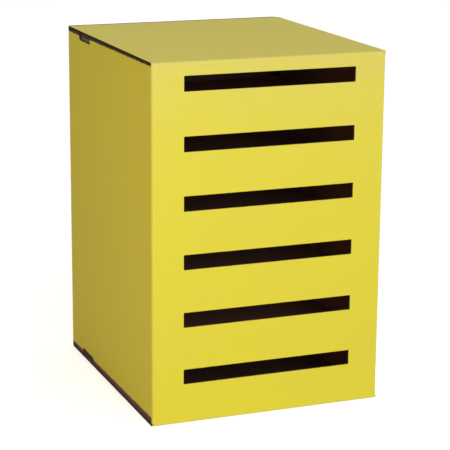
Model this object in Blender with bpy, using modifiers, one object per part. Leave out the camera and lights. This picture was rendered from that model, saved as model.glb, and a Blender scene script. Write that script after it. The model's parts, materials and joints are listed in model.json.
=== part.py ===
"""Letter mailbox folded from corrugated board: six front slots, five shelves, a tuck lid and a tuck rear door.

Metres, +Z up. The front faces -Y, and the origin is the middle of the base.
"""

import math

import bmesh
import bpy
from mathutils import Matrix, Vector

# Board
BOARD = 0.0032
FOLD_RADIUS = 0.0035
GAP = 0.0003

# Letter slots in the front panel
SLOT_COUNT = 6
SLOT_WIDTH = 0.2235
SLOT_HEIGHT = 0.0190
SLOT_PITCH = 0.0728
SLOT_CORNER = 0.0010
SLOT_SIDE_MARGIN = 0.04065
SLOT_TOP_MARGIN = 0.0172

# Depth from the front face to the rear face
DEPTH = 0.3429

# Shelves: the drop from a slot's lower edge to its shelf, and the tabs that carry a shelf
SHELF_DROP = 0.0440
SHELF_TAB_LENGTH = 0.0400
SHELF_TAB_INSET = 0.0350
TAB_CLEARANCE = 0.0004

# Tuck flaps of the lid, the bottom and the rear door
TUCK_TILT = math.radians(8)
LID_TUCK_LENGTH = 0.0380
LID_TUCK_INSET = 0.0200
DOOR_TUCK_LENGTH = 0.0220
DOOR_TUCK_INSET = 0.0300
TUCK_TAPER = 0.0080
TUCK_CORNER = 0.0100
SLIT_LENGTH = 0.0090

# Dust flaps
FLAP_TAPER = 0.0060
FLAP_CLEARANCE = 0.0020
FLAP_CORNER = 0.0060

# Lock notches in the side panels, and the tongues of the shelf walls that sit in them
NOTCH_FROM_REAR = 0.0520
NOTCH_LENGTH = 0.0480
NOTCH_HEIGHT = 0.0090
NOTCH_LEAD_RADIUS = 0.0055
NOTCH_CORNER = 0.0015
TONGUE_CLEARANCE = 0.0008
TONGUE_ENGAGEMENT = 0.0011
TONGUE_CORNER = 0.0015

# Rear door
DOOR_FLOOR_GAP = 0.0010
DOOR_CLEARANCE = 0.0050

# Facets of round stretches
FOLD_STEPS = 4
CORNER_STEPS = 5
WELD = 0.00001

# Sizes that follow
FLOOR = 2 * BOARD + GAP
WIDTH = SLOT_WIDTH + 2 * SLOT_SIDE_MARGIN
HEIGHT = FLOOR + SHELF_DROP + (SLOT_COUNT - 1) * SLOT_PITCH + SLOT_HEIGHT + SLOT_TOP_MARGIN
SIDE = WIDTH / 2
FRONT = -DEPTH / 2
REAR = DEPTH / 2
TUCK_LINE = REAR - BOARD - GAP
DOOR_TUCK_LINE = SIDE - BOARD - GAP
CREASE_LOW = BOARD + GAP
CREASE_HIGH = HEIGHT - CREASE_LOW
SIDE_HEIGHT = CREASE_HIGH - CREASE_LOW
WALL_OUTER = SIDE - BOARD - GAP
WALL_INNER = WALL_OUTER - BOARD
WALL_LOW = FLOOR + GAP
WALL_HIGH = HEIGHT - WALL_LOW
SHELF_FRONT = FRONT + BOARD + GAP
SHELF_REAR = REAR - BOARD - DOOR_TUCK_LENGTH - DOOR_CLEARANCE
SHELF_HALF = WALL_INNER - GAP
RIGHT_ANGLE = math.pi / 2
TUCK_TURN = RIGHT_ANGLE + TUCK_TILT

X = Vector((1, 0, 0))
Y = Vector((0, 1, 0))
Z = Vector((0, 0, 1))


def collection(name):
    """A collection of the scene, made if it isn't there yet."""
    found = bpy.data.collections.get(name) or bpy.data.collections.new(name)
    if found.name not in bpy.context.scene.collection.children:
        bpy.context.scene.collection.children.link(found)
    return found


def board_material(name, colour, roughness):
    """A plain paper surface."""
    material = bpy.data.materials.new(name)
    material.use_nodes = True
    shader = material.node_tree.nodes["Principled BSDF"]
    shader.inputs["Base Color"].default_value = (*colour, 1)
    shader.inputs["Roughness"].default_value = roughness
    shader.inputs["Metallic"].default_value = 0
    return material


def frame(origin, x_axis, y_axis):
    """The matrix of a local frame with the given origin and first two axes."""
    rotation = Matrix((x_axis, y_axis, x_axis.cross(y_axis))).transposed()
    return Matrix.Translation(origin) @ rotation.to_4x4()


def rounded(corners):
    """An outline through corners (x, y, radius), with each corner of radius over 0 drawn as an arc."""
    points = []
    for index, (x, y, radius) in enumerate(corners):
        here = Vector((x, y))
        if radius == 0:
            points.append(here)
            continue
        before = (Vector(corners[index - 1][:2]) - here).normalized()
        after = (Vector(corners[(index + 1) % len(corners)][:2]) - here).normalized()
        half = before.angle(after) / 2
        centre = here + (before + after).normalized() * radius / math.sin(half)
        start = here + before * radius / math.tan(half) - centre
        stop = here + after * radius / math.tan(half) - centre
        turns = [step / CORNER_STEPS for step in range(CORNER_STEPS + 1)]
        points += [centre + radius * start.slerp(stop, turn) for turn in turns]
    return points


def folded_end(turn):
    """Half of a fold that turns by the given angle, as (distance back from the crease line, depth) pairs.

    The two boards of a fold share the crease line, where their outer faces would meet. Each one rounds off
    towards it and stops at the plane that halves the turn, so the fold opens without the boards meeting.
    """
    if turn == 0:
        return [(0, 0), (0, -BOARD)]
    half = turn / 2
    reach = FOLD_RADIUS * math.tan(half)
    swept = half - GAP / 2 / FOLD_RADIUS
    arc = [swept * step / FOLD_STEPS for step in range(FOLD_STEPS + 1)]
    points = [(reach - FOLD_RADIUS * math.sin(a), FOLD_RADIUS * (math.cos(a) - 1)) for a in arc]
    return points + [(BOARD * math.tan(half) + GAP / 2 / math.cos(half), -BOARD)]


def fold_section(length, start_turn, end_turn):
    """The section of a board across its folds, from crease line to crease line, outer face at depth 0."""
    start = folded_end(start_turn)
    end = [(length - back, depth) for back, depth in folded_end(end_turn)]
    return list(reversed(start)) + end


def extrusion(name, outline, thickness, placing, group):
    """A solid that extends a flat outline half its thickness to each side of the frame's XY plane."""
    curve = bpy.data.curves.new(name, "CURVE")
    curve.dimensions = "2D"
    curve.fill_mode = "BOTH"
    curve.extrude = thickness / 2
    spline = curve.splines.new("POLY")
    spline.points.add(len(outline) - 1)
    for point, (x, y) in zip(spline.points, outline):
        point.co = (x, y, 0, 1)
    spline.use_cyclic_u = True
    drawing = bpy.data.objects.new(name + "_outline", curve)
    group.objects.link(drawing)
    evaluated = drawing.evaluated_get(bpy.context.evaluated_depsgraph_get())
    mesh = bpy.data.meshes.new_from_object(evaluated)
    bpy.data.objects.remove(drawing)
    bpy.data.curves.remove(curve)
    welded = bmesh.new()
    welded.from_mesh(mesh)
    bmesh.ops.remove_doubles(welded, verts=welded.verts, dist=WELD)
    bmesh.ops.recalc_face_normals(welded, faces=welded.faces)
    welded.to_mesh(mesh)
    welded.free()
    mesh.name = name
    solid = bpy.data.objects.new(name, mesh)
    group.objects.link(solid)
    solid.matrix_world = placing
    return solid


def tool_solid(name, outline, thickness, placing):
    """An extrusion that only shapes other pieces."""
    tool = extrusion(name, outline, thickness, placing, TOOLS)
    tool.hide_render = True
    tool.display_type = "WIRE"
    return tool


def combine(piece, tool, operation):
    """Cut, trim or join a piece with a tool solid."""
    modifier = piece.modifiers.new(tool.name, "BOOLEAN")
    modifier.operation = operation
    modifier.solver = "EXACT"
    modifier.object = tool


def repeat(tool, count, step):
    """Repeat a tool solid in a straight row, step apart in the tool's own axes."""
    row = tool.modifiers.new("row", "ARRAY")
    row.count = count
    row.use_relative_offset = False
    row.use_constant_offset = True
    row.constant_offset_displace = step
    row.merge_threshold = WELD


def folded_board(name, crease, along, normal, length, breadth, turns, material):
    """A board that runs from the middle of its crease line along one direction, with its outer face on normal."""
    board = extrusion(name, fold_section(length, *turns), breadth, frame(crease, along, normal), PARTS)
    board.data.materials.append(material)
    return board


def fold_across(board, crease, along, normal, length, breadth, turns):
    """Fold a board's two other edges as well, by trimming it with the section across them."""
    across = along.cross(normal)
    middle = crease + along * length / 2 - across * breadth / 2
    section = fold_section(breadth, *turns)
    trim = tool_solid(board.name + "_cross_folds", section, 2 * length, frame(middle, across, normal))
    combine(board, trim, "INTERSECT")


def trim_outline(board, crease, along, normal, outline):
    """Trim a board to an outline of (distance along, distance across) points, measured from its crease."""
    placing = frame(crease - normal * BOARD / 2, along, along.cross(normal))
    trim = tool_solid(board.name + "_outline", outline, 4 * BOARD, placing)
    combine(board, trim, "INTERSECT")


def make_front_panel():
    """The front, folded to the sides, the lid and the bottom, with the letter slots."""
    crease = Vector((-SIDE, FRONT, HEIGHT / 2))
    folds = (RIGHT_ANGLE, RIGHT_ANGLE)
    panel = folded_board("front_panel", crease, X, -Y, WIDTH, HEIGHT, folds, YELLOW)
    fold_across(panel, crease, X, -Y, WIDTH, HEIGHT, folds)
    half = SLOT_WIDTH / 2
    slot = rounded([
        (-half, 0, SLOT_CORNER),
        (half, 0, SLOT_CORNER),
        (half, SLOT_HEIGHT, SLOT_CORNER),
        (-half, SLOT_HEIGHT, SLOT_CORNER),
    ])
    lowest = Vector((0, FRONT + BOARD / 2, FLOOR + SHELF_DROP))
    cutter = tool_solid("letter_slots", slot, 4 * BOARD, frame(lowest, X, Z))
    repeat(cutter, SLOT_COUNT, (0, SLOT_PITCH, 0))
    combine(panel, cutter, "DIFFERENCE")
    return panel


def notch_corners(low, high, lead_inset, end_inset, lead_radius, end_radius):
    """A lock notch, or a tongue inset in it, as (y, z, radius) corners in the YZ plane.

    The blind corner that leads is well rounded: the rear one of an upper notch, the front one of a lower notch.
    """
    rear = REAR - NOTCH_FROM_REAR
    front = rear - NOTCH_LENGTH
    if low > HEIGHT / 2:
        rear -= lead_inset
        front += end_inset
        return [(front, high, 0), (rear, high, 0), (rear, low, lead_radius), (front, low, end_radius)]
    rear -= end_inset
    front += lead_inset
    return [(rear, low, 0), (front, low, 0), (front, high, lead_radius), (rear, high, end_radius)]


def cut_notches(panel, side):
    """Cut the two lock notches through the creases of a side panel."""
    middle = Vector((side * (SIDE - BOARD / 2), 0, 0))
    levels = {"upper": (CREASE_HIGH - NOTCH_HEIGHT, HEIGHT), "lower": (0, CREASE_LOW + NOTCH_HEIGHT)}
    for place, (low, high) in levels.items():
        corners = notch_corners(low, high, 0, 0, NOTCH_LEAD_RADIUS, NOTCH_CORNER)
        name = f"{panel.name}_{place}_notch"
        combine(panel, tool_solid(name, rounded(corners), 4 * BOARD, frame(middle, Y, Z)), "DIFFERENCE")


def make_side_panel(name, side, rear_turn):
    """A side, folded to the front and to its dust flaps, with the lock notches."""
    crease = Vector((side * SIDE, FRONT, HEIGHT / 2))
    panel = folded_board(name, crease, Y, side * X, DEPTH, SIDE_HEIGHT, (RIGHT_ANGLE, rear_turn), YELLOW)
    fold_across(panel, crease, Y, side * X, DEPTH, SIDE_HEIGHT, (RIGHT_ANGLE, RIGHT_ANGLE))
    cut_notches(panel, side)
    return panel


def make_closure(name, level, normal):
    """The lid or the bottom: folded to the front, with a tuck crease at the rear that stops short of its ends."""
    crease = Vector((0, FRONT, level))
    length = TUCK_LINE - FRONT
    panel = folded_board(name, crease, Y, normal, length, WIDTH + 2 * BOARD, (RIGHT_ANGLE, TUCK_TURN), YELLOW)
    square_end = length - FOLD_RADIUS * math.tan(TUCK_TURN / 2)
    half = [
        (-BOARD, SIDE),
        (square_end, SIDE),
        (square_end, SIDE - SLIT_LENGTH),
        (length + BOARD, SIDE - SLIT_LENGTH),
    ]
    outline = half + [(along, -across) for along, across in reversed(half)]
    trim_outline(panel, crease, Y, normal, outline)
    return panel


def make_tuck_flap(name, crease, along, normal, length, breadth):
    """A tuck flap: a tapered tongue with round corners, turned in past the square by the tilt."""
    flap = folded_board(name, crease, along, normal, length + BOARD, breadth, (TUCK_TURN, 0), YELLOW)
    wide = breadth / 2
    narrow = wide - TUCK_TAPER
    corners = [
        (-BOARD, -wide, 0),
        (length, -narrow, TUCK_CORNER),
        (length, narrow, TUCK_CORNER),
        (-BOARD, wide, 0),
    ]
    trim_outline(flap, crease, along, normal, rounded(corners))
    return flap


def make_closure_tuck(name, level, normal):
    """The tuck flap of the lid or the bottom, which stands inside the rear door."""
    tilted = Matrix.Rotation(TUCK_TILT if normal.z > 0 else -TUCK_TILT, 3, -X)
    crease = Vector((0, TUCK_LINE, level))
    breadth = WIDTH - 2 * LID_TUCK_INSET
    return make_tuck_flap(name, crease, tilted @ -normal, tilted @ Y, LID_TUCK_LENGTH, breadth)


def make_dust_flap(name, side, level, normal):
    """A flap folded in from a side panel, which meets the opposite flap on the centre line."""
    front = FRONT + BOARD + FLAP_CLEARANCE
    tuck_depth = BOARD + GAP + LID_TUCK_LENGTH * math.sin(TUCK_TILT) + BOARD
    rear = REAR - tuck_depth - FLAP_CLEARANCE
    length = SIDE - GAP
    crease = Vector((side * SIDE, (front + rear) / 2, level))
    along = -side * X
    flap = folded_board(name, crease, along, normal, length + BOARD, rear - front, (RIGHT_ANGLE, 0), YELLOW)
    wide = (rear - front) / 2
    narrow = wide - FLAP_TAPER
    corners = [
        (-BOARD, -wide, 0),
        (length, -narrow, FLAP_CORNER),
        (length, narrow, FLAP_CORNER),
        (-BOARD, wide, 0),
    ]
    trim_outline(flap, crease, along, normal, rounded(corners))
    return flap


def make_rear_door():
    """The back panel, folded to the left side as a door, with a tuck crease at its free edge."""
    low = DOOR_FLOOR_GAP
    high = HEIGHT - GAP
    crease = Vector((-SIDE, REAR, (low + high) / 2))
    length = DOOR_TUCK_LINE + SIDE
    return folded_board("rear_door", crease, X, Y, length, high - low, (RIGHT_ANGLE, TUCK_TURN), YELLOW)


def make_door_tuck():
    """The door's tuck flap, which goes in behind the right side panel."""
    tilted = Matrix.Rotation(-TUCK_TILT, 3, Z)
    crease = Vector((DOOR_TUCK_LINE, REAR, HEIGHT / 2))
    breadth = HEIGHT - 2 * DOOR_TUCK_INSET
    return make_tuck_flap("rear_door_tuck_flap", crease, tilted @ -Y, tilted @ X, DOOR_TUCK_LENGTH, breadth)


def tab_middles():
    """Where a shelf's front and rear tabs are centred, front to back."""
    return SHELF_FRONT + SHELF_TAB_INSET, SHELF_REAR - SHELF_TAB_INSET


def make_shelf_wall(name, side):
    """An inner wall with a slot for each shelf tab and a lock tongue for each notch."""
    middle = Vector((side * (WALL_OUTER - BOARD / 2), 0, 0))
    placing = frame(middle, Y, Z)
    outline = [(SHELF_FRONT, WALL_LOW), (SHELF_REAR, WALL_LOW), (SHELF_REAR, WALL_HIGH), (SHELF_FRONT, WALL_HIGH)]
    wall = extrusion(name, outline, BOARD, placing, PARTS)
    wall.data.materials.append(DARK)
    front_tab, rear_tab = tab_middles()
    half = SHELF_TAB_LENGTH / 2 + TAB_CLEARANCE
    low = FLOOR + SLOT_PITCH - BOARD - TAB_CLEARANCE
    high = FLOOR + SLOT_PITCH + TAB_CLEARANCE
    slot = [(front_tab - half, low), (front_tab + half, low), (front_tab + half, high), (front_tab - half, high)]
    slots = tool_solid(name + "_tab_slots", slot, 4 * BOARD, placing)
    repeat(slots, 2, (rear_tab - front_tab, 0, 0))
    repeat(slots, SLOT_COUNT - 1, (0, SLOT_PITCH, 0))
    combine(wall, slots, "DIFFERENCE")
    reach = NOTCH_HEIGHT - TONGUE_CLEARANCE
    levels = {
        "upper": (CREASE_HIGH - reach, WALL_HIGH - TONGUE_CLEARANCE),
        "lower": (WALL_LOW + TONGUE_CLEARANCE, CREASE_LOW + reach),
    }
    rise = GAP + TONGUE_ENGAGEMENT
    seat = Vector((side * (WALL_OUTER + (rise - BOARD / 2) / 2), 0, 0))
    for place, (low, high) in levels.items():
        corners = notch_corners(low, high, NOTCH_LEAD_RADIUS, TONGUE_CLEARANCE, TONGUE_CORNER, TONGUE_CORNER)
        tongue = tool_solid(f"{name}_{place}_tongue", rounded(corners), rise + BOARD / 2, frame(seat, Y, Z))
        combine(wall, tongue, "UNION")
    return wall


def make_shelf(number):
    """A shelf with two tabs on each side, which end inside the walls' slots."""
    tab_end = WALL_OUTER - GAP
    right = [(SHELF_HALF, SHELF_FRONT)]
    for middle in tab_middles():
        near = middle - SHELF_TAB_LENGTH / 2
        far = middle + SHELF_TAB_LENGTH / 2
        right += [(SHELF_HALF, near), (tab_end, near), (tab_end, far), (SHELF_HALF, far)]
    right.append((SHELF_HALF, SHELF_REAR))
    left = [(-x, y) for x, y in reversed(right)]
    middle = Vector((0, 0, FLOOR + number * SLOT_PITCH - BOARD / 2))
    shelf = extrusion(f"shelf_{number}", right + left, BOARD, frame(middle, X, Y), PARTS)
    shelf.data.materials.append(DARK)
    return shelf


def build():
    """Make every piece, and hang the moving ones on the pieces that carry them."""
    make_front_panel()
    make_side_panel("left_side_panel", -1, RIGHT_ANGLE)
    make_side_panel("right_side_panel", 1, 0)
    lid = make_closure("top_panel", HEIGHT, Z)
    lid_tuck = make_closure_tuck("top_tuck_flap", HEIGHT, Z)
    make_closure("bottom_panel", 0, -Z)
    make_closure_tuck("bottom_tuck_flap", 0, -Z)
    for place, level, normal in (("top", CREASE_HIGH, Z), ("bottom", CREASE_LOW, -Z)):
        make_dust_flap(f"{place}_left_dust_flap", -1, level, normal)
        make_dust_flap(f"{place}_right_dust_flap", 1, level, normal)
    door = make_rear_door()
    door_tuck = make_door_tuck()
    make_shelf_wall("left_shelf_wall", -1)
    make_shelf_wall("right_shelf_wall", 1)
    for number in range(1, SLOT_COUNT):
        make_shelf(number)
    bpy.context.view_layer.update()
    for flap, carrier in ((lid_tuck, lid), (door_tuck, door)):
        flap.parent = carrier
        flap.matrix_parent_inverse = carrier.matrix_world.inverted()


for leftover in list(bpy.data.objects):
    bpy.data.objects.remove(leftover)
PARTS = collection("letter_mailbox")
TOOLS = collection("letter_mailbox_cutters")
YELLOW = board_material("yellow_board", (0.80, 0.70, 0.06), 0.55)
DARK = board_material("dark_board", (0.10, 0.075, 0.06), 0.8)
build()
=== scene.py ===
# %% [markdown]
# # A letter mailbox folded from yellow corrugated board
# The mailbox is one printed sheet, folded into a sleeve with a lid, a bottom and a rear door, and an
# inner rack of brown board that carries the shelves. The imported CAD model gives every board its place, so
# this lesson only turns plain plates into board: printed paper outside, brown paper inside, a wavy core
# that shows wherever the board was cut, and a soft bend wherever it was creased.

import json
import math

import bmesh
import bpy
from mathutils import Matrix, Vector


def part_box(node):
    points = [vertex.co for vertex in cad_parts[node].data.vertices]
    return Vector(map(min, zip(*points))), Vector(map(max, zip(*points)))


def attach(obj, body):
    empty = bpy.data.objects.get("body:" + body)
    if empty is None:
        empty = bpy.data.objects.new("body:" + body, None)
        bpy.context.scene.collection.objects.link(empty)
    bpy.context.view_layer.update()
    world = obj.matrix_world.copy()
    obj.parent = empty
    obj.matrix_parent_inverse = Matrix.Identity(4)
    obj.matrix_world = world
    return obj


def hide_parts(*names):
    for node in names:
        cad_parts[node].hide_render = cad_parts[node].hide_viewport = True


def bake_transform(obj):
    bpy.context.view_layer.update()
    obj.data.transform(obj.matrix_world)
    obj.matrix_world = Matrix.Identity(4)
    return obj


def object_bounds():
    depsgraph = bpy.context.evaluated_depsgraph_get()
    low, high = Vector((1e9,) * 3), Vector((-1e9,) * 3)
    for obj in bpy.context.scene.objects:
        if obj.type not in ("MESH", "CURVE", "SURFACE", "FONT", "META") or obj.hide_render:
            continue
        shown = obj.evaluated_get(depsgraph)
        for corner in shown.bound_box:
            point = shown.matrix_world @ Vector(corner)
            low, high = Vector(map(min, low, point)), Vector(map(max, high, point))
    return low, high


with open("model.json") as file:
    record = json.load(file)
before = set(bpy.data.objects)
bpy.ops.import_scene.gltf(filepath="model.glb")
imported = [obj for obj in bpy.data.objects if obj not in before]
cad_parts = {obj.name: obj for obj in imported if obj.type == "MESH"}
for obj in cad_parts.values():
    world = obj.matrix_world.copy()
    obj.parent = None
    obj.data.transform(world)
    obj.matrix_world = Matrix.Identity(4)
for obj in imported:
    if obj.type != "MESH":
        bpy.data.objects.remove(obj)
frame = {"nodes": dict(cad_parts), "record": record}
cad_low, cad_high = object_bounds()
nodes = frame["nodes"]
boards_of_body = frame["record"]["behaviour"]["bodies"]
body_of_node = {node: body for body, group in boards_of_body.items() for node in group}

# %% [markdown]
# The sizes that the folds need are read off the loaded boards, so they can't drift from the model. Only
# the bend's radius, the turn of a tuck flap, the shoulder beside it and the hairline gap between boards
# are written out, because no box shows them.

# %% Read the sizes off the boards
X, Y, Z = Vector((1, 0, 0)), Vector((0, 1, 0)), Vector((0, 0, 1))
MM = 0.001
FOLD_RADIUS = 3.5 * MM
TUCK_TURN = math.radians(98)
TUCK_INSET = 20 * MM
HAIRLINE = 0.3 * MM
SIDE, FRONT, REAR, HEIGHT = cad_high.x, cad_low.y, cad_high.y, cad_high.z
MIDDLE = HEIGHT / 2
shelf_low, shelf_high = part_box("shelf_1")
BOARD = shelf_high.z - shelf_low.z
TUCK_REACH = FOLD_RADIUS * math.tan(TUCK_TURN / 2)
TUCK_LINE = REAR - BOARD - HAIRLINE
DOOR_TUCK_LINE = SIDE - BOARD - HAIRLINE
print(f"box {2 * SIDE:.4f} x {REAR - FRONT:.4f} x {HEIGHT:.4f} m, board {BOARD / MM:.2f} mm")

# %% [markdown]
# ## Finishes
# Printed board isn't one flat yellow. The ink lies on paper, so there is a fine fibre grain, a cloudy
# drift in the ink and a faint washboard where the core's waves press through. An image would freeze that
# at one size, so each finish is mixed from noise and waves in the board's own coordinates. All finishes
# use the same few nodes. Wiring them one by one would bury the recipes, so each kind of node gets a short
# helper first.

# %% Wire up a finish
def node_of(tree, kind, **settings):
    """Add a shader node and set its plain properties."""
    made = tree.nodes.new(kind)
    for name, value in settings.items():
        setattr(made, name, value)
    return made


def feed(tree, value, socket):
    """Link a socket to another one, or set it to a number or a colour."""
    if isinstance(value, bpy.types.NodeSocket):
        tree.links.new(value, socket)
    elif isinstance(value, tuple):
        socket.default_value = (*value, 1)
    else:
        socket.default_value = value


def shader_of(finish):
    """A finish's node tree and its main shader."""
    finish.use_nodes = True
    return finish.node_tree, finish.node_tree.nodes["Principled BSDF"]


def own_place(tree):
    """A piece's own coordinates."""
    return node_of(tree, "ShaderNodeTexCoord").outputs["Object"]


def split(tree, place):
    """Coordinates as separate X, Y and Z."""
    made = node_of(tree, "ShaderNodeSeparateXYZ")
    feed(tree, place, made.inputs[0])
    return made.outputs


print("a finish can be wired")

# %% [markdown]
# Then the nodes that do the work. A noise gives all that is irregular here. It seldom strays far from one
# half, so `ranged` spreads only the middle of it, and `mapped` turns any range into another.

# %% Noise and ranges
NOISE_LOW, NOISE_HIGH = 0.3, 0.7


def noise(tree, place, scale, detail):
    """A noise on the given coordinates."""
    made = node_of(tree, "ShaderNodeTexNoise")
    for name, value in (("Scale", scale), ("Detail", detail), ("Vector", place)):
        feed(tree, value, made.inputs[name])
    return made.outputs["Fac"]


def mapped(tree, value, start, stop, low, high):
    """Map what lies between start and stop to the range from low to high."""
    made = node_of(tree, "ShaderNodeMapRange")
    limits = {"From Min": start, "From Max": stop, "To Min": low, "To Max": high}
    for name, number in {"Value": value, **limits}.items():
        feed(tree, number, made.inputs[name])
    return made.outputs["Result"]


def ranged(tree, value, low, high):
    """Spread the middle of a noise over a range."""
    return mapped(tree, value, NOISE_LOW, NOISE_HIGH, low, high)


print("noise is spread from", NOISE_LOW, "to", NOISE_HIGH)

# %% [markdown]
# A sum, a mix of two colours and a bump complete the set. A mix node repeats its sockets for each kind of
# value, with the same names, so the ones for colours are picked by number.

# %% Sums, mixes and bumps
MIX_FACTOR, MIX_FIRST, MIX_SECOND, MIX_RESULT = 0, 6, 7, 2


def worked(tree, operation, *values):
    """Work out a sum, each value a number or a socket."""
    made = node_of(tree, "ShaderNodeMath", operation=operation)
    for socket, value in zip(made.inputs, values):
        feed(tree, value, socket)
    return made.outputs[0]


def mixed(tree, factor, first, second, blend="MIX"):
    """Mix two colours, each a tuple or a socket."""
    made = node_of(tree, "ShaderNodeMix", data_type="RGBA", blend_type=blend)
    for index, value in ((MIX_FACTOR, factor), (MIX_FIRST, first), (MIX_SECOND, second)):
        feed(tree, value, made.inputs[index])
    return made.outputs[MIX_RESULT]


def bumped(tree, height, distance, strength=1.0, over=None):
    """Raise a surface by a height, over another bump if there is one."""
    made = node_of(tree, "ShaderNodeBump")
    for name, value in (("Height", height), ("Distance", distance), ("Strength", strength)):
        feed(tree, value, made.inputs[name])
    if over:
        feed(tree, over, made.inputs["Normal"])
    return made.outputs["Normal"]


print("colours are mixed in sockets", MIX_FIRST, "and", MIX_SECOND)

# %% [markdown]
# Six papers cover the mailbox: the yellow print outside, the same print with more shine on the lid and the
# bottom, a paler print on the bends, where handling thins the ink and a painted highlight lightens it
# further, the brown liner inside the carton, the lighter paper of the shelf rack, and the greyer paper on
# the outer face of the rack's walls, which shows in the lock notches. They differ only in numbers, so a
# table holds them.

# %% List the papers
# fresh ink, faded ink, roughness, shine, fibre grain, depth of the washboard
PAPERS = {
    "yellow_print": ((0.800, 0.722, 0.057), (0.790, 0.707, 0.067), 0.50, 0.04, 0.05, 0.02 * MM),
    "lid_print": ((0.800, 0.722, 0.057), (0.790, 0.707, 0.067), 0.50, 0.12, 0.05, 0.02 * MM),
    # the bends' print is paler partly from wear and partly as a painted highlight
    "worn_highlit_print": ((0.825, 0.752, 0.098), (0.810, 0.728, 0.078), 0.48, 0.05, 0.07, 0.02 * MM),
    "brown_liner": ((0.280, 0.145, 0.098), (0.238, 0.123, 0.083), 0.80, 0.25, 0.16, 0.04 * MM),
    "rack_paper": ((0.560, 0.275, 0.190), (0.490, 0.240, 0.165), 0.80, 0.25, 0.16, 0.04 * MM),
    "grey_paper": ((0.185, 0.142, 0.129), (0.155, 0.117, 0.107), 0.80, 0.25, 0.16, 0.04 * MM),
}
print("listed", len(PAPERS), "papers")

# %% [markdown]
# One recipe mixes them all. A slow noise drifts between fresh and faded ink, a fine one gives the fibres,
# which darken the ink a little and also make the paper rougher and toothed, and a wave gives the
# washboard.

# %% Mix a paper liner
FLUTE_PITCH = 6.35 * MM
WAVE_RADIANS_PER_UNIT = 20
RIB_SCALE = 2 * math.pi / WAVE_RADIANS_PER_UNIT / FLUTE_PITCH
# scale and detail of a noise
FIBRES, CLOUDS = (1100, 5), (8, 3)
SMOOTHER, ROUGHER = 0.05, 0.06
TOOTH_DEEP, TOOTH_STRENGTH = 0.03 * MM, 0.35


def paper_liner(paper, wave_axis):
    """Paper glued on a wavy core, with the washboard's waves following each other along an axis."""
    fresh, faded, roughness, shine, grain, wash = PAPERS[paper]
    finish = bpy.data.materials.new(f"{paper}_{wave_axis.lower()}")
    tree, shader = shader_of(finish)
    place = own_place(tree)
    fibres = noise(tree, place, *FIBRES)
    clouds = noise(tree, place, *CLOUDS)
    ink = mixed(tree, ranged(tree, clouds, 0, 1), fresh, faded)
    speck = ranged(tree, fibres, 1 - grain, 1)
    grey = node_of(tree, "ShaderNodeCombineColor")
    for channel in grey.inputs:
        feed(tree, speck, channel)
    feed(tree, mixed(tree, 1.0, ink, grey.outputs[0], "MULTIPLY"), shader.inputs["Base Color"])
    feed(tree, ranged(tree, fibres, roughness - SMOOTHER, roughness + ROUGHER), shader.inputs["Roughness"])
    feed(tree, shine, shader.inputs["Specular IOR Level"])
    ribs = node_of(tree, "ShaderNodeTexWave", bands_direction=wave_axis)
    feed(tree, RIB_SCALE, ribs.inputs["Scale"])
    feed(tree, place, ribs.inputs["Vector"])
    washboard = bumped(tree, ribs.outputs["Fac"], wash)
    feed(tree, bumped(tree, fibres, TOOTH_DEEP, TOOTH_STRENGTH, washboard), shader.inputs["Normal"])
    print("mixed", finish.name)
    return finish


print(f"washboard waves every {FLUTE_PITCH / MM:.2f} mm")

# %% [markdown]
# The wave follows the direction in which the flutes repeat, up a standing board and along a lying one. A
# Mapping node could turn one finish, but it would turn it on every board, so each direction gets its own
# copy.

# %% Print the liners
yellow_upright, yellow_across = [paper_liner("yellow_print", axis) for axis in "ZX"]
yellow_lying = paper_liner("lid_print", "Y")
# bends: thinned print with a painted highlight
worn_highlit_upright, worn_highlit_lying = [paper_liner("worn_highlit_print", axis) for axis in "ZY"]
brown_upright, brown_lying, brown_across = [paper_liner("brown_liner", axis) for axis in "ZYX"]
rack_lying, rack_across = [paper_liner("rack_paper", axis) for axis in "YX"]
grey_lying = paper_liner("grey_paper", "Y")

# %% [markdown]
# The front's print is painted paler and greyer towards the top crease, a painted sheen standing for a
# reflection, and soon recovers below it. A second texture could be painted by hand, but a sheen that simply
# fades with the distance from a height is one curve: the height is turned into an exponential fall, broken
# up by a cloudy noise, and mixes the print with a pale grey. The front and its bends get their own copies
# of the two prints for it.

# %% Paint a sheen on the front's print
# painted sheen: a pale grey mixed into the front's print, strongest at the top crease
PAINTED_SHEEN = (0.55, 0.54, 0.50)
SHEEN_MOST, SHEEN_UNEVEN = 0.19, 0.2
SHEEN_FADE, FADES = 75 * MM, 6
SHEEN_CLOUDS = (18, 3)


def printed_on(shader):
    """The colour that a finish has so far."""
    return shader.inputs["Base Color"].links[0].from_socket


def paint_sheen_down_from(finish, name, height):
    """Paint a pale grey sheen into a print towards a height, and less and less below it."""
    finish.name = name
    tree, shader = shader_of(finish)
    printed = printed_on(shader)
    place = own_place(tree)
    fall = mapped(tree, split(tree, place)["Z"], height - FADES * SHEEN_FADE, height, -FADES, 0)
    clouds = noise(tree, place, *SHEEN_CLOUDS)
    most = ranged(tree, clouds, SHEEN_MOST * (1 - SHEEN_UNEVEN), SHEEN_MOST * (1 + SHEEN_UNEVEN))
    amount = worked(tree, "MULTIPLY", worked(tree, "EXPONENT", fall), most)
    feed(tree, mixed(tree, amount, printed, PAINTED_SHEEN), shader.inputs["Base Color"])
    print("sheened", name)
    return finish


# the front and its bends get the painted sheen
front_sheened_print = paint_sheen_down_from(paper_liner("yellow_print", "Z"), "sheened_front_print", HEIGHT)
front_bend_print_highlit_sheened = paint_sheen_down_from(paper_liner("worn_highlit_print", "Z"), "sheened_highlit_bend_print", HEIGHT)

# %% [markdown]
# A cut edge is bare paper pulp, darker and rougher than a liner and mottled with torn fibres. It needs no
# washboard, because the waves there are real: they are cut into the mesh further down.

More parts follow.
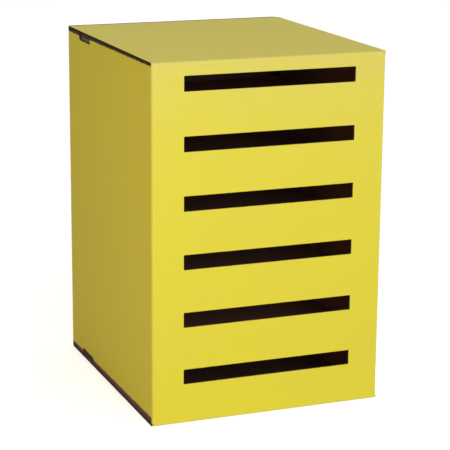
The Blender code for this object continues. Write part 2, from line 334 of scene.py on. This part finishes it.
# %% Mix the raw cut edge
EDGE, EDGE_DEEP = (0.105, 0.066, 0.040), (0.050, 0.031, 0.020)
EDGE_ROUGH, EDGE_SHINE = 0.92, 0.2
TORN_DEEP, TORN_STRENGTH = 0.08 * MM, 0.6
PULP = (1600, 6)


def pulp_colour(tree, pulp):
    """Bare pulp, mottled by a noise."""
    return mixed(tree, ranged(tree, pulp, 0, 1), EDGE, EDGE_DEEP)


raw_edge = bpy.data.materials.new("raw_cut_edge")
edge_tree, edge_shader = shader_of(raw_edge)
edge_pulp = noise(edge_tree, own_place(edge_tree), *PULP)
torn = bumped(edge_tree, edge_pulp, TORN_DEEP, TORN_STRENGTH)
feed(edge_tree, pulp_colour(edge_tree, edge_pulp), edge_shader.inputs["Base Color"])
feed(edge_tree, EDGE_ROUGH, edge_shader.inputs["Roughness"])
feed(edge_tree, EDGE_SHINE, edge_shader.inputs["Specular IOR Level"])
feed(edge_tree, torn, edge_shader.inputs["Normal"])
print("mixed", raw_edge.name)

# %% [markdown]
# Along the sides' upper crease, more towards the rear, and along the lower one, more towards the front, the
# print is painted over with bare pulp as painted shade: the dark grooves beside the lid and the bottom.
# Cutting such a border into the mesh would leave it ruler straight. In the material it can wander: a line
# between two heights is moved up and down by a noise, and beyond it the print gives way to the painted
# pulp.

# %% Paint shade into the sides' print
# painted shade: bare pulp along the sides' creases, for the dark grooves beside the lid and the bottom
UPPER_SHADE_REAR, UPPER_SHADE_FRONT = 1.2 * MM, 3.4 * MM
LOWER_SHADE_REAR, LOWER_SHADE_FRONT = 0.3 * MM, 3.1 * MM
RAGGED, BORDER = 1.2 * MM, 0.12 * MM
SHADE_WANDER = (260, 5)
side_low, side_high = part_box("left_side_panel")
upper_crease, lower_crease = side_high.z - FOLD_RADIUS, side_low.z + FOLD_RADIUS


def paint_shade_beyond(finish, at_rear, at_front, upwards):
    """Paint bare pulp over a print, as painted shade, above or below a ragged line between a height at the
    rear and one at the front.
    """
    tree, shader = shader_of(finish)
    printed = printed_on(shader)
    place = own_place(tree)
    parts = split(tree, place)
    line = mapped(tree, parts["Y"], FRONT, REAR, at_front, at_rear)
    past = worked(tree, "SUBTRACT", parts["Z"], line)
    wander = ranged(tree, noise(tree, place, *SHADE_WANDER), -RAGGED / 2, RAGGED / 2)
    ragged = worked(tree, "ADD", past, wander)
    shaded = mapped(tree, ragged, -upwards * BORDER, upwards * BORDER, 0, 1)
    pulp = pulp_colour(tree, noise(tree, place, *PULP))
    feed(tree, mixed(tree, shaded, printed, pulp), shader.inputs["Base Color"])


# the sides' print with painted shade along both creases
side_print = paper_liner("yellow_print", "Z")
side_print.name = "side_print_with_painted_shade"
paint_shade_beyond(side_print, upper_crease + UPPER_SHADE_REAR, upper_crease + UPPER_SHADE_FRONT, 1)
paint_shade_beyond(side_print, lower_crease + LOWER_SHADE_REAR, lower_crease + LOWER_SHADE_FRONT, -1)
print("shaded", side_print.name)

# %% [markdown]
# ## From plate to board
# A board could be drawn again from a cube, but its slots, notches and tongues have to sit exactly where
# the model has them. So each board starts as a copy of its plate. The copy comes as loose triangles: they
# are welded, and flat neighbours are dissolved into whole faces. Then the rounded ends at the creases are
# cut off with bisect, because a separate bent strip takes their place.

# %% Start a board
WELD = 0.01 * MM
FLAT = math.radians(0.2)


def only(*chosen):
    """Leave edit mode and make these the only selected objects."""
    if bpy.context.object and bpy.context.object.mode != "OBJECT":
        bpy.ops.object.mode_set(mode="OBJECT")
    bpy.ops.object.select_all(action="DESELECT")
    for thing in chosen:
        thing.select_set(True)
        bpy.context.view_layer.objects.active = thing


def edit_all(thing):
    """Edit an object with its whole mesh selected."""
    only(thing)
    bpy.ops.object.mode_set(mode="EDIT")
    bpy.ops.mesh.select_mode(type="VERT")
    bpy.ops.mesh.select_all(action="SELECT")


def weld_copy(node):
    """A welded copy of a packed plate."""
    board = bpy.data.objects.new(node + "_board", nodes[node].data.copy())
    bpy.context.scene.collection.objects.link(board)
    only(board)
    bpy.ops.mesh.customdata_custom_splitnormals_clear()
    edit_all(board)
    bpy.ops.mesh.remove_doubles(threshold=WELD)
    bpy.ops.mesh.dissolve_limited(angle_limit=FLAT)
    only(board)
    return board


def trim(board, point, away):
    """Cut off what lies beyond a plane, and close the cut."""
    edit_all(board)
    bpy.ops.mesh.bisect(plane_co=point, plane_no=away, use_fill=True, clear_outer=True, threshold=WELD)
    only(board)


print(f"corners closer than {WELD / MM:.2f} mm are welded")

# %% [markdown]
# A trimmed board is painted by the way its faces look: outwards is the outer paper, inwards the inner
# one, and what looks sideways was cut and is raw. Picking faces by hand would have to be done again after
# every change of the model. At the end a board is smoothed, and takes the place of its plate on the same
# body.

# %% Paint a board and hand it over
OUTER, INNER, RAW = 0, 1, 2
FACING = 0.3
SMOOTH = math.radians(30)


def dress(thing, *finishes):
    """Give a mesh its finishes, in this order."""
    thing.data.materials.clear()
    for finish in finishes:
        thing.data.materials.append(finish)


def start_board(node, outward, outer, inner, trims=()):
    """Weld, trim and paint a board."""
    board = weld_copy(node)
    for point, away in trims:
        trim(board, point, away)
    dress(board, outer, inner, raw_edge)
    for face in board.data.polygons:
        facing = face.normal.dot(outward)
        face.material_index = OUTER if facing > FACING else INNER if facing < -FACING else RAW
    return board


def hand_over(board, node):
    """Smooth a finished board and let it stand for its plate."""
    only(board)
    bpy.ops.object.shade_smooth_by_angle(angle=SMOOTH)
    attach(board, body_of_node[node])
    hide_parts(node)
    work = bmesh.new()
    work.from_mesh(board.data)
    loose = sum(not edge.is_manifold for edge in work.edges)
    work.free()
    print(f"{board.name}: {len(board.data.polygons)} faces, {loose} open edges")


print("finishes of a board: outer", OUTER, "inner", INNER, "raw", RAW)

# %% [markdown]
# ## The wavy core
# Corrugated board is two flat papers with a wave of paper glued between them. Looked at from a cut end,
# the wave leaves a row of small triangles, points up and points down in turn. Drawing them as a texture
# would look painted on from close by. Here one triangle is modelled from a three-sided cylinder with its
# point rounded by a bevel, copied upside down half a wave along, repeated by an Array, and cut out of the
# edge. What is left between the pockets is the wave. First come the helpers that bevel chosen edges and
# bring a cutter to its edge.

# %% Bevel and place a cutter
def bevel_where(thing, wanted, offset, segments, **settings):
    """In edit mode, bevel the edges whose two ends pass a test."""
    bpy.ops.mesh.select_mode(type="EDGE")
    bpy.ops.mesh.select_all(action="DESELECT")
    mesh = bmesh.from_edit_mesh(thing.data)
    for edge in mesh.edges:
        edge.select_set(wanted(*[vertex.co for vertex in edge.verts]))
    bmesh.update_edit_mesh(thing.data)
    bpy.ops.mesh.bevel(offset=offset, segments=segments, affect="EDGES", **settings)


def frame_at(origin, along, inward):
    """A matrix with X along an edge and Y into the board."""
    turn = Matrix((along, inward, along.cross(inward))).transposed()
    return Matrix.Translation(origin) @ turn.to_4x4()


def settle(thing, placing):
    """Put an object in its place and keep the place in the mesh."""
    thing.matrix_world = placing
    only(thing)
    bpy.ops.object.transform_apply(location=True, rotation=True, scale=True)


print("cutters lie with X along an edge and Y into the board")

# %% [markdown]
# The triangle stands on its point. Its corners are a unit away from the middle, so it is the square root
# of three wide and one and a half tall, and is scaled from there to the size of a pocket.

# %% Make a row of flute pockets
LINER = 0.35 * MM
CORE = BOARD - 2 * LINER
POCKET_WIDE = 0.90 * FLUTE_PITCH
POCKET_TALL = 0.95 * CORE
POCKET_TIP, TIP_STEPS = 0.55 * MM, 3
TRIANGLE_SIDES, TRIANGLE_WIDE, TRIANGLE_TALL = 3, math.sqrt(3), 1.5
CENTRE = (0, 0, 0)


def flute_row(origin, along, inward, waves, reach):
    """Pockets for a number of waves, along an edge that starts at origin, reaching into the board."""
    only()
    lying = (-math.pi / 2, 0, 0)
    bpy.ops.mesh.primitive_cylinder_add(vertices=TRIANGLE_SIDES, radius=1, depth=2, rotation=lying)
    row = bpy.context.object
    bpy.ops.object.transform_apply(rotation=True)
    edit_all(row)
    wide, tall = POCKET_WIDE / TRIANGLE_WIDE, POCKET_TALL / TRIANGLE_TALL
    bpy.ops.transform.resize(value=(wide, reach, tall), center_override=CENTRE)
    bpy.ops.transform.translate(value=(0, 0, CORE / 2 - tall / 2))
    tip = CORE / 2 - POCKET_TALL + WELD
    bevel_where(row, lambda first, last: max(first.z, last.z) < tip, POCKET_TIP, TIP_STEPS)
    bpy.ops.mesh.select_mode(type="VERT")
    bpy.ops.mesh.select_all(action="SELECT")
    bpy.ops.mesh.duplicate()
    bpy.ops.transform.rotate(value=math.pi, orient_axis="Y", center_override=CENTRE)
    bpy.ops.transform.translate(value=(FLUTE_PITCH / 2, 0, 0))
    only(row)
    repeat = row.modifiers.new("waves", "ARRAY")
    repeat.count = waves
    repeat.use_relative_offset = False
    repeat.use_constant_offset = True
    repeat.constant_offset_displace = (FLUTE_PITCH, 0, 0)
    bpy.ops.object.modifier_apply(modifier=repeat.name)
    settle(row, frame_at(origin, along, inward))
    dress(row, raw_edge)
    return row


print(f"core {CORE / MM:.2f} mm thick, {POCKET_WIDE / MM:.2f} mm pockets every {FLUTE_PITCH / MM:.2f} mm")

# %% [markdown]
# A row is cut out with a Boolean, which also hands the raw edge's finish on to the cut. Where a row
# starts follows from its length, so that it sits in the middle of its edge.

# %% Cut the pockets
def waves_in(length):
    """How many whole waves an edge of this length shows."""
    return int(length / FLUTE_PITCH)


def row_length(waves):
    """The distance from the middle of a row's first pocket to the middle of its last."""
    return (waves - 0.5) * FLUTE_PITCH


def carve(board, cutter):
    """Cut a shape out of a board, leaving the raw edge's finish in the cut."""
    cut = board.modifiers.new("cut", "BOOLEAN")
    cut.operation = "DIFFERENCE"
    cut.solver = "EXACT"
    cut.material_mode = "TRANSFER"
    cut.object = cutter
    only(board)
    bpy.ops.object.modifier_apply(modifier=cut.name)
    bpy.data.objects.remove(cutter)


print("the lid's side shows up to", waves_in(TUCK_LINE - FRONT), "waves")

# %% [markdown]
# ## The slotted front
# The front is the face that people use: six slots, die cut, with the flutes running across from side to
# side. At the ends of each slot the cut goes across the flutes, so two waves show there.

# %% Front panel
SLOT_COUNT = 6
SLOT_HALF = 111.75 * MM
SLOT_HEIGHT = 19 * MM
SLOT_PITCH = 72.8 * MM
SLOT_LOWEST = 50.7 * MM
POCKET_REACH = 7 * MM
front = start_board("front_panel", -Y, front_sheened_print, brown_upright, [
    (Vector((-SIDE + FOLD_RADIUS, 0, 0)), -X),
    (Vector((SIDE - FOLD_RADIUS, 0, 0)), X),
    (Vector((0, 0, FOLD_RADIUS)), -Z),
    (Vector((0, 0, HEIGHT - FOLD_RADIUS)), Z),
])
core_y = FRONT + BOARD / 2
slot_waves = waves_in(SLOT_HEIGHT)
slot_start = SLOT_LOWEST + (SLOT_HEIGHT - row_length(slot_waves)) / 2
for number in range(SLOT_COUNT):
    for side in (-1, 1):
        end = Vector((side * SLOT_HALF, core_y, slot_start + number * SLOT_PITCH))
        carve(front, flute_row(end, Z, side * X, slot_waves, POCKET_REACH))
hand_over(front, "front_panel")

# %% [markdown]
# ## The two sides
# The left side turns round the rear into the door, and the right side ends there in a raw edge, cut
# across the flutes. Both keep the rounding of their upper and lower creases, because the lock notches are
# cut through it.

# %% Side panels
left = start_board("left_side_panel", -X, side_print, brown_upright, [
    (Vector((0, FRONT + FOLD_RADIUS, 0)), -Y),
    (Vector((0, REAR - FOLD_RADIUS, 0)), Y),
])
right = start_board("right_side_panel", X, side_print, brown_upright, [
    (Vector((0, FRONT + FOLD_RADIUS, 0)), -Y),
])
hand_over(left, "left_side_panel")

right_low, right_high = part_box("right_side_panel")
rear_waves = waves_in(right_high.z - right_low.z - 2 * FOLD_RADIUS) - 1
rear_start = MIDDLE - row_length(rear_waves) / 2
carve(right, flute_row(Vector((SIDE - BOARD / 2, REAR, rear_start)), Z, -Y, rear_waves, POCKET_REACH))
hand_over(right, "right_side_panel")

# %% [markdown]
# ## The lid and the bottom
# These close the sleeve. Their left and right edges were cut across the flutes and lie in plain sight
# above and below the side panels: the dark, finely toothed bands that outline the mailbox.

# %% Lid and bottom
SHORT = 0.05 * MM
closure_front, closure_rear = FRONT + FOLD_RADIUS, TUCK_LINE - TUCK_REACH - SHORT
closure_trims = [(Vector((0, closure_front, 0)), -Y), (Vector((0, closure_rear, 0)), Y)]
closure_length = closure_rear - closure_front
closure_waves = waves_in(closure_length) - 1
closure_start = closure_front + (closure_length - row_length(closure_waves)) / 2
for node, level, outward in (("top_panel", HEIGHT - BOARD / 2, Z), ("bottom_panel", BOARD / 2, -Z)):
    board = start_board(node, outward, yellow_lying, brown_lying, closure_trims)
    for side in (-1, 1):
        edge = Vector((side * SIDE, closure_start, level))
        carve(board, flute_row(edge, Y, -side * X, closure_waves, POCKET_REACH))
    hand_over(board, node)

# %% [markdown]
# ## Tuck flaps
# A tuck flap is the tongue past a crease that slides in and holds by friction. It leans in a little past
# the square. The flaps of the lid and the bottom have their flutes along the crease, so their sloping
# ends show waves.

# %% Tuck flaps of the lid and the bottom
TILT = TUCK_TURN - math.pi / 2
CLOSURE_TUCK = 38 * MM
TAPER_REACH = 17 * MM
tuck_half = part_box("top_tuck_flap")[1].x
tuck_waves = waves_in(CLOSURE_TUCK - TUCK_REACH) - 1


def leaning(up):
    """The direction down a closure's tuck flap and the one its outer face looks in."""
    down = Vector((0, -math.sin(TILT), -up * math.cos(TILT)))
    out = Vector((0, math.cos(TILT), -up * math.sin(TILT)))
    return down, out


for node, level, up in (("top_tuck_flap", HEIGHT, 1), ("bottom_tuck_flap", 0, -1)):
    down, out = leaning(up)
    crease = Vector((0, TUCK_LINE, level))
    board = start_board(node, out, yellow_upright, brown_upright, [(crease + down * TUCK_REACH, -down)])
    for side in (-1, 1):
        first = crease + down * (TUCK_REACH + FLUTE_PITCH / 2) - out * BOARD / 2 + side * tuck_half * X
        carve(board, flute_row(first, down, -side * X, tuck_waves, TAPER_REACH))
    hand_over(board, node)

# %% [markdown]
# The door's tuck flap has its flutes across the crease, so its long free edge shows the waves. They stop
# short of its two sloping ends.

# %% Tuck flap of the door
DOOR_TUCK = 22 * MM
door_in = Vector((-math.sin(TILT), -math.cos(TILT), 0))
door_out = Vector((math.cos(TILT), -math.sin(TILT), 0))
door_crease = Vector((DOOR_TUCK_LINE, REAR, MIDDLE))
door_tuck = start_board("rear_door_tuck_flap", door_out, yellow_upright, brown_upright,
                        [(door_crease + door_in * TUCK_REACH, -door_in)])
flap_low, flap_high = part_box("rear_door_tuck_flap")
free_waves = waves_in(flap_high.z - flap_low.z - 2 * CLOSURE_TUCK)
free_edge = door_crease + door_in * DOOR_TUCK - door_out * BOARD / 2 - row_length(free_waves) / 2 * Z
carve(door_tuck, flute_row(free_edge, Z, -door_in, free_waves, POCKET_REACH))
hand_over(door_tuck, "rear_door_tuck_flap")

# %% [markdown]
# ## Dust flaps
# Four flaps fold in from the sides, two under the lid and two over the bottom. The lower two make the
# floor of the lowest compartment, and their meeting line is the seam that shows through the lowest slot.
# The cutting rule presses the papers down where it runs along the flutes, so both rims of that cut are
# bevelled, and the bevels are painted bare pulp as painted shade in the seam. Without it the seam would be
# a hairline that no slot could show. Bare pulp also shows in the crease at the side on the mitre, which the
# lock notches lay open, and beside it the crease's rounding is painted bare pulp as painted shade.

# %% Press and shade a cut, and shade a crease
# painted shade: the seam's bevels and a flap crease's rounding are painted bare pulp
PRESSED, PRESS_STEPS = 0.8 * MM, 2
SHADED_TURN = math.radians(34)


def press_and_shade_cut(board, x):
    """Bevel both rims of a cut that runs front to back at this x, and paint the bevels bare pulp as painted
    shade in the seam.
    """
    def on_rim(first, last):
        on_cut = abs(first.x - x) < WELD and abs(last.x - x) < WELD
        return on_cut and abs(first.z - last.z) < WELD

    edit_all(board)
    bevel_where(board, on_rim, PRESSED, PRESS_STEPS, material=RAW)
    only(board)


def bare_and_shaded_crease(board, towards):
    """Paint bare pulp where a flap's crease turns towards its side: cut pulp on the mitre, painted shade on
    the rounding.
    """
    for face in board.data.polygons:
        if face.normal.dot(towards) > math.sin(SHADED_TURN):
            face.material_index = RAW


print(f"rims pressed {PRESSED / MM:.1f} mm")

# %% [markdown]
# The flaps' flutes run front to back, so their front and rear ends show the waves. The ends slope, so the
# pockets reach further in than at a square end.

# %% Dust flaps
DUST_MARGIN = 2 * FOLD_RADIUS
DUST_REACH = 2 * POCKET_REACH
for place, outward in (("top", Z), ("bottom", -Z)):
    for hand, side in (("left", -1), ("right", 1)):
        node = f"{place}_{hand}_dust_flap"
        board = start_board(node, outward, yellow_across, brown_across)
        bare_and_shaded_crease(board, side * X)
        low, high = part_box(node)
        press_and_shade_cut(board, high.x if side < 0 else low.x)
        level = (high.z - BOARD / 2) if outward.z > 0 else (low.z + BOARD / 2)
        waves = waves_in(high.x - low.x - 2 * DUST_MARGIN) - 1
        first_x = (low.x + high.x - row_length(waves)) / 2
        for y, into in ((low.y, Y), (high.y, -Y)):
            carve(board, flute_row(Vector((first_x, y, level)), X, into, waves, DUST_REACH))
        hand_over(board, node)

# %% [markdown]
# ## The rear door
# The back panel is the door: it hangs on the left side's rear crease. Its two upright ends are creases,
# and its upper and lower edges run along the flutes, so they show no waves, only a hollow between the two
# liners. That hollow is a long shallow groove with a rounded floor.

# %% Rear door
GROOVE_DEEP, GROOVE_STEPS = 1.2 * MM, 2
GROOVE_ROUND = GROOVE_DEEP / 3
LIP = 0.5 * MM


def groove(start, stop, into):
    """A shallow groove between the liners, for an edge that was cut along the flutes."""
    only()
    bpy.ops.mesh.primitive_cube_add(size=1)
    hollow = bpy.context.object
    edit_all(hollow)
    size = ((stop - start).length, 2 * GROOVE_DEEP, BOARD - 2 * LIP)
    bpy.ops.transform.resize(value=size, center_override=CENTRE)
    bevel_where(hollow, lambda first, last: min(first.y, last.y) > 0, GROOVE_ROUND, GROOVE_STEPS)
    settle(hollow, frame_at((start + stop) / 2, (stop - start).normalized(), into))
    dress(hollow, raw_edge)
    return hollow


door_low, door_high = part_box("rear_door")
door_left, door_right = -SIDE + FOLD_RADIUS, DOOR_TUCK_LINE - TUCK_REACH
door = start_board("rear_door", Y, yellow_upright, brown_upright, [
    (Vector((door_left, 0, 0)), -X),
    (Vector((door_right, 0, 0)), X),
])
for level, into in ((door_low.z, Z), (door_high.z, -Z)):
    ends = [Vector((x, REAR - BOARD / 2, level)) for x in (door_left + LIP, door_right - LIP)]
    carve(door, groove(*ends, into))
hand_over(door, "rear_door")

# %% [markdown]
# ## The shelf rack
# The rack is unprinted board: two walls with slots for the shelves' tabs and with tongues that lock into
# the notches of the sides, and five shelves. The walls' flutes stand upright to carry the load, so their
# rear edges are grooves. The walls' outer faces get the greyer paper, because that is what the lock
# notches show.

# %% Walls
for hand, side in (("left", -1), ("right", 1)):
    node = f"{hand}_shelf_wall"
    board = start_board(node, side * X, grey_lying, rack_lying)
    low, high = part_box(node)
    core_x = side * (SIDE - BOARD - HAIRLINE - BOARD / 2)
    ends = [Vector((core_x, high.y, z)) for z in (low.z + LIP, high.z - LIP)]
    carve(board, groove(*ends, -Y))
    hand_over(board, node)

# %% [markdown]
# The shelves' flutes run front to back, and their rear edges show waves when the door is open. The row
# stays clear of the tabs at both ends.

# %% Shelves
SHELF_MARGIN = 2 * BOARD
for number in range(1, SLOT_COUNT):
    node = f"shelf_{number}"
    board = start_board(node, Z, rack_across, rack_across)
    low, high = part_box(node)
    waves = waves_in(high.x - low.x - 2 * SHELF_MARGIN) - 1
    first = Vector((-row_length(waves) / 2, high.y, (low.z + high.z) / 2))
    carve(board, flute_row(first, X, -Y, waves, POCKET_REACH))
    hand_over(board, node)

# %% [markdown]
# ## Bent creases
# A crease in thick board is no sharp line: the outer paper runs round it in a soft curve. A bevel on a
# solid corner could round it, but it couldn't open with a hinge. So each bend is a thin rectangle, the
# board's section, swept round by spin. The outer face of every bend wears the paler print, part wear and
# part painted highlight.

# %% Make a bend
BEND_STEPS = 12
OUTER_RADIUS, INNER_RADIUS = 0.95 * FOLD_RADIUS, FOLD_RADIUS - BOARD + WELD


def bend(name, centre, start, axis, turn, low, high, outer, inner):
    """A bent strip of board round an axis, from a start direction, between two distances along the axis."""
    only()
    bpy.ops.mesh.primitive_plane_add(size=1)
    strip = bpy.context.object
    strip.name = name
    strip.data.name = name
    settle(strip, Matrix.Rotation(math.pi / 2, 4, "X"))
    edit_all(strip)
    bpy.ops.transform.resize(value=(BOARD, 1, high - low), center_override=CENTRE)
    bpy.ops.transform.translate(value=(FOLD_RADIUS - BOARD / 2, 0, (low + high) / 2))
    bpy.ops.mesh.spin(steps=BEND_STEPS, angle=-turn, center=CENTRE, axis=Z)
    bpy.ops.mesh.select_all(action="SELECT")
    bpy.ops.mesh.remove_doubles(threshold=WELD)
    bpy.ops.mesh.normals_make_consistent(inside=False)
    only(strip)
    dress(strip, outer, inner, raw_edge)
    for face in strip.data.polygons:
        radii = [strip.data.vertices[index].co.xy.length for index in face.vertices]
        outside, inside = min(radii) > OUTER_RADIUS, max(radii) < INNER_RADIUS
        face.material_index = OUTER if outside else INNER if inside else RAW
    settle(strip, frame_at(centre, start, axis.cross(start)))
    bpy.ops.object.shade_smooth_by_angle(angle=SMOOTH)
    size = strip.dimensions
    print(f"{name}: {len(strip.data.polygons)} faces, {size.x:.4f} x {size.y:.4f} x {size.z:.4f} m")
    return strip


print(f"bends of {FOLD_RADIUS / MM:.1f} mm radius in {BEND_STEPS} steps")

# %% [markdown]
# Of the four bends round the front, the top one is the lid's hinge. It keeps its place baked into its mesh
# and stays with no body, while the other three go with the carton.

# %% Bends round the front
SQUARE = math.pi / 2
R = FOLD_RADIUS


def hinge_bend(strip):
    """Bake a bend's place into its mesh, and leave it with no body."""
    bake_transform(strip)


front_bends = [
    ("front_left_bend", Vector((-SIDE + R, FRONT + R, MIDDLE)), -Z, MIDDLE - R),
    ("front_right_bend", Vector((SIDE - R, FRONT + R, MIDDLE)), Z, MIDDLE - R),
    ("front_bottom_bend", Vector((0, FRONT + R, R)), X, SIDE),
    ("front_top_bend", Vector((0, FRONT + R, HEIGHT - R)), -X, SIDE),
]
for name, centre, axis, half in front_bends:
    strip = bend(name, centre, -Y, axis, SQUARE, -half, half, front_bend_print_highlit_sheened, brown_upright)
    if name != "front_top_bend":
        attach(strip, "carton")
    else:
        hinge_bend(strip)

# %% [markdown]
# The door turns on the left rear crease, and its tuck flap turns on the crease at the door's other end.
# Both bends are as tall as the door.

# %% Bends of the door
half = (door_high.z - door_low.z) / 2
door_middle = (door_high.z + door_low.z) / 2
strip = bend("door_hinge_bend", Vector((door_left, REAR - R, door_middle)), -X, -Z, SQUARE, -half, half,
             worn_highlit_upright, brown_upright)
hinge_bend(strip)

strip = bend("door_tuck_bend", Vector((door_right, REAR - R, door_middle)), Y, -Z, TUCK_TURN, -half, half,
             worn_highlit_upright, brown_upright)
hinge_bend(strip)

# %% [markdown]
# A closure's tuck flap is narrower than the closure, so on either side of its crease a shoulder of board
# is left, which only bends halfway down. The shoulders are short bends of their own, so that they stay
# with the closure when the flap swings.

# %% Bends of the lid's and the bottom's tuck flaps
half = SIDE - TUCK_INSET
for place, level, up in (("lid", HEIGHT, 1), ("bottom", 0, -1)):
    centre = Vector((0, TUCK_LINE - TUCK_REACH, level - up * R))
    strip = bend(f"{place}_tuck_bend", centre, up * Z, -up * X, TUCK_TURN, -half, half,
                 worn_highlit_lying, brown_lying)
    for hand, side in (("left", -1), ("right", 1)):
        low, high = (half, SIDE) if side == -up else (-SIDE, -half)
        shoulder = bend(f"{place}_{hand}_shoulder", centre, up * Z, -up * X, TUCK_TURN / 2, low, high,
                        worn_highlit_lying, brown_lying)
        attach(shoulder, "lid" if up > 0 else "carton")
    if up > 0:
        hinge_bend(strip)
    else:
        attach(strip, "carton")

# %% [markdown]
# ## Stage, light and camera
# The mailbox stands on a white floor in front of white. More light would turn the floor white, but it
# would wash out the yellow too. So the floor glows a little, and only for rays that show it, straight or
# in a reflection: it reads as white, scatters no extra light on the board, and keeps the soft shadow.

# %% Floor
FLOOR_WIDE, FLOOR_DROP = 8, 0.2 * MM
FLOOR_GREY, FLOOR_ROUGH, FLOOR_SHINE = (0.82, 0.82, 0.82), 0.9, 0
FLOOR_GLOW = 0.68
WHITE = (1, 1, 1)


def seen_directly(tree):
    """1 for rays that show the background: from the camera, in gloss or through glass."""
    rays = node_of(tree, "ShaderNodeLightPath").outputs
    total = rays["Is Camera Ray"]
    for name in ("Is Glossy Ray", "Is Transmission Ray"):
        total = worked(tree, "MAXIMUM", total, rays[name])
    return total


only()
bpy.ops.mesh.primitive_plane_add(size=FLOOR_WIDE, location=(0, 0, -FLOOR_DROP))
floor = bpy.context.object
floor.name = "floor"
floor_finish = bpy.data.materials.new("white_floor")
floor_tree, floor_shader = shader_of(floor_finish)
feed(floor_tree, FLOOR_GREY, floor_shader.inputs["Base Color"])
feed(floor_tree, FLOOR_ROUGH, floor_shader.inputs["Roughness"])
feed(floor_tree, FLOOR_SHINE, floor_shader.inputs["Specular IOR Level"])
feed(floor_tree, WHITE, floor_shader.inputs["Emission Color"])
glow = worked(floor_tree, "MULTIPLY", seen_directly(floor_tree), FLOOR_GLOW)
feed(floor_tree, glow, floor_shader.inputs["Emission Strength"])
dress(floor, floor_finish)
print("floor laid, glowing at", FLOOR_GLOW)

# %% [markdown]
# The world plays two parts. Seen directly it is plain white. As a light it is a soft surround, brighter
# and neutral on the right, dimmer and warmer on the left, so the left side comes out about half as bright
# as the front and a little deeper in colour.

# %% Surround
SURROUND, BACKDROP = 0.65, 1
WARM = (0.36, 0.24, 0.16)
TURN_WARM = 0.3
world = bpy.data.worlds.new("white_surround")
world.use_nodes = True
bpy.context.scene.world = world
world_tree = world.node_tree
heading = split(world_tree, node_of(world_tree, "ShaderNodeTexCoord").outputs["Generated"])["X"]
from_left = mapped(world_tree, heading, TURN_WARM, -TURN_WARM, 0, 1)
soft_light = world_tree.nodes["Background"]
feed(world_tree, mixed(world_tree, from_left, WHITE, WARM), soft_light.inputs["Color"])
feed(world_tree, SURROUND, soft_light.inputs["Strength"])
backdrop = node_of(world_tree, "ShaderNodeBackground")
feed(world_tree, WHITE, backdrop.inputs["Color"])
feed(world_tree, BACKDROP, backdrop.inputs["Strength"])
choice = node_of(world_tree, "ShaderNodeMixShader")
choice_parts = (seen_directly(world_tree), soft_light.outputs[0], backdrop.outputs[0])
for socket, part in zip(choice.inputs, choice_parts):
    feed(world_tree, part, socket)
feed(world_tree, choice.outputs[0], world_tree.nodes["World Output"].inputs["Surface"])
print("surround at", SURROUND)

# %% [markdown]
# One broad lamp in front, a little above, lights the front evenly and reaches through the slots. A small
# warm one stands close to the left side: because it is close, its light fades along the side, and so the
# side darkens towards the rear.

# %% Lamps
TARGET = Vector((0, 0, MIDDLE))
LAMP_TURN, LAMP_RISE, LAMP_AWAY = math.radians(-3), math.radians(20), 2.8
FILL_PLACE = Vector((-0.9, -0.5, 0.5))
FILL_COLOUR = (1, 0.86, 0.48)


def soft_lamp(name, place, size, watts, colour):
    """A square lamp that looks at the middle of the mailbox."""
    lamp = bpy.data.objects.new(name, bpy.data.lights.new(name, "AREA"))
    bpy.context.scene.collection.objects.link(lamp)
    lamp.data.energy = watts
    lamp.data.size = size
    lamp.data.color = colour
    lamp.location = place
    lamp.rotation_euler = (TARGET - place).to_track_quat("-Z", "Y").to_euler()
    print(name, "at", [round(part, 2) for part in place])


level_away, rise = math.cos(LAMP_RISE) * LAMP_AWAY, math.sin(LAMP_RISE) * LAMP_AWAY
to_lamp = Vector((math.sin(LAMP_TURN) * level_away, -math.cos(LAMP_TURN) * level_away, rise))
soft_lamp("broad_lamp", TARGET + to_lamp, size=1.6, watts=34.6, colour=WHITE)
soft_lamp("warm_fill", FILL_PLACE, size=0.8, watts=1.8, colour=FILL_COLOUR)

# %% [markdown]
# The camera stands where it sees the corners of the lid, the front and the left side at the photograph's
# angles: a long lens, some way off to the left and above.

# %% Camera
LENS, SENSOR = 136.9, 36
CAMERA_PLACE = (-0.7979, -2.0395, 0.7614)
CAMERA_TURN = (75.676, -0.434, -21.478)
camera = bpy.data.objects.new("camera", bpy.data.cameras.new("camera"))
bpy.context.scene.collection.objects.link(camera)
camera.data.lens = LENS
camera.data.sensor_width = SENSOR
camera.location = CAMERA_PLACE
camera.rotation_euler = [math.radians(turn) for turn in CAMERA_TURN]
bpy.context.scene.camera = camera
bpy.context.scene.view_settings.view_transform = "Standard"
print("camera at", CAMERA_PLACE)
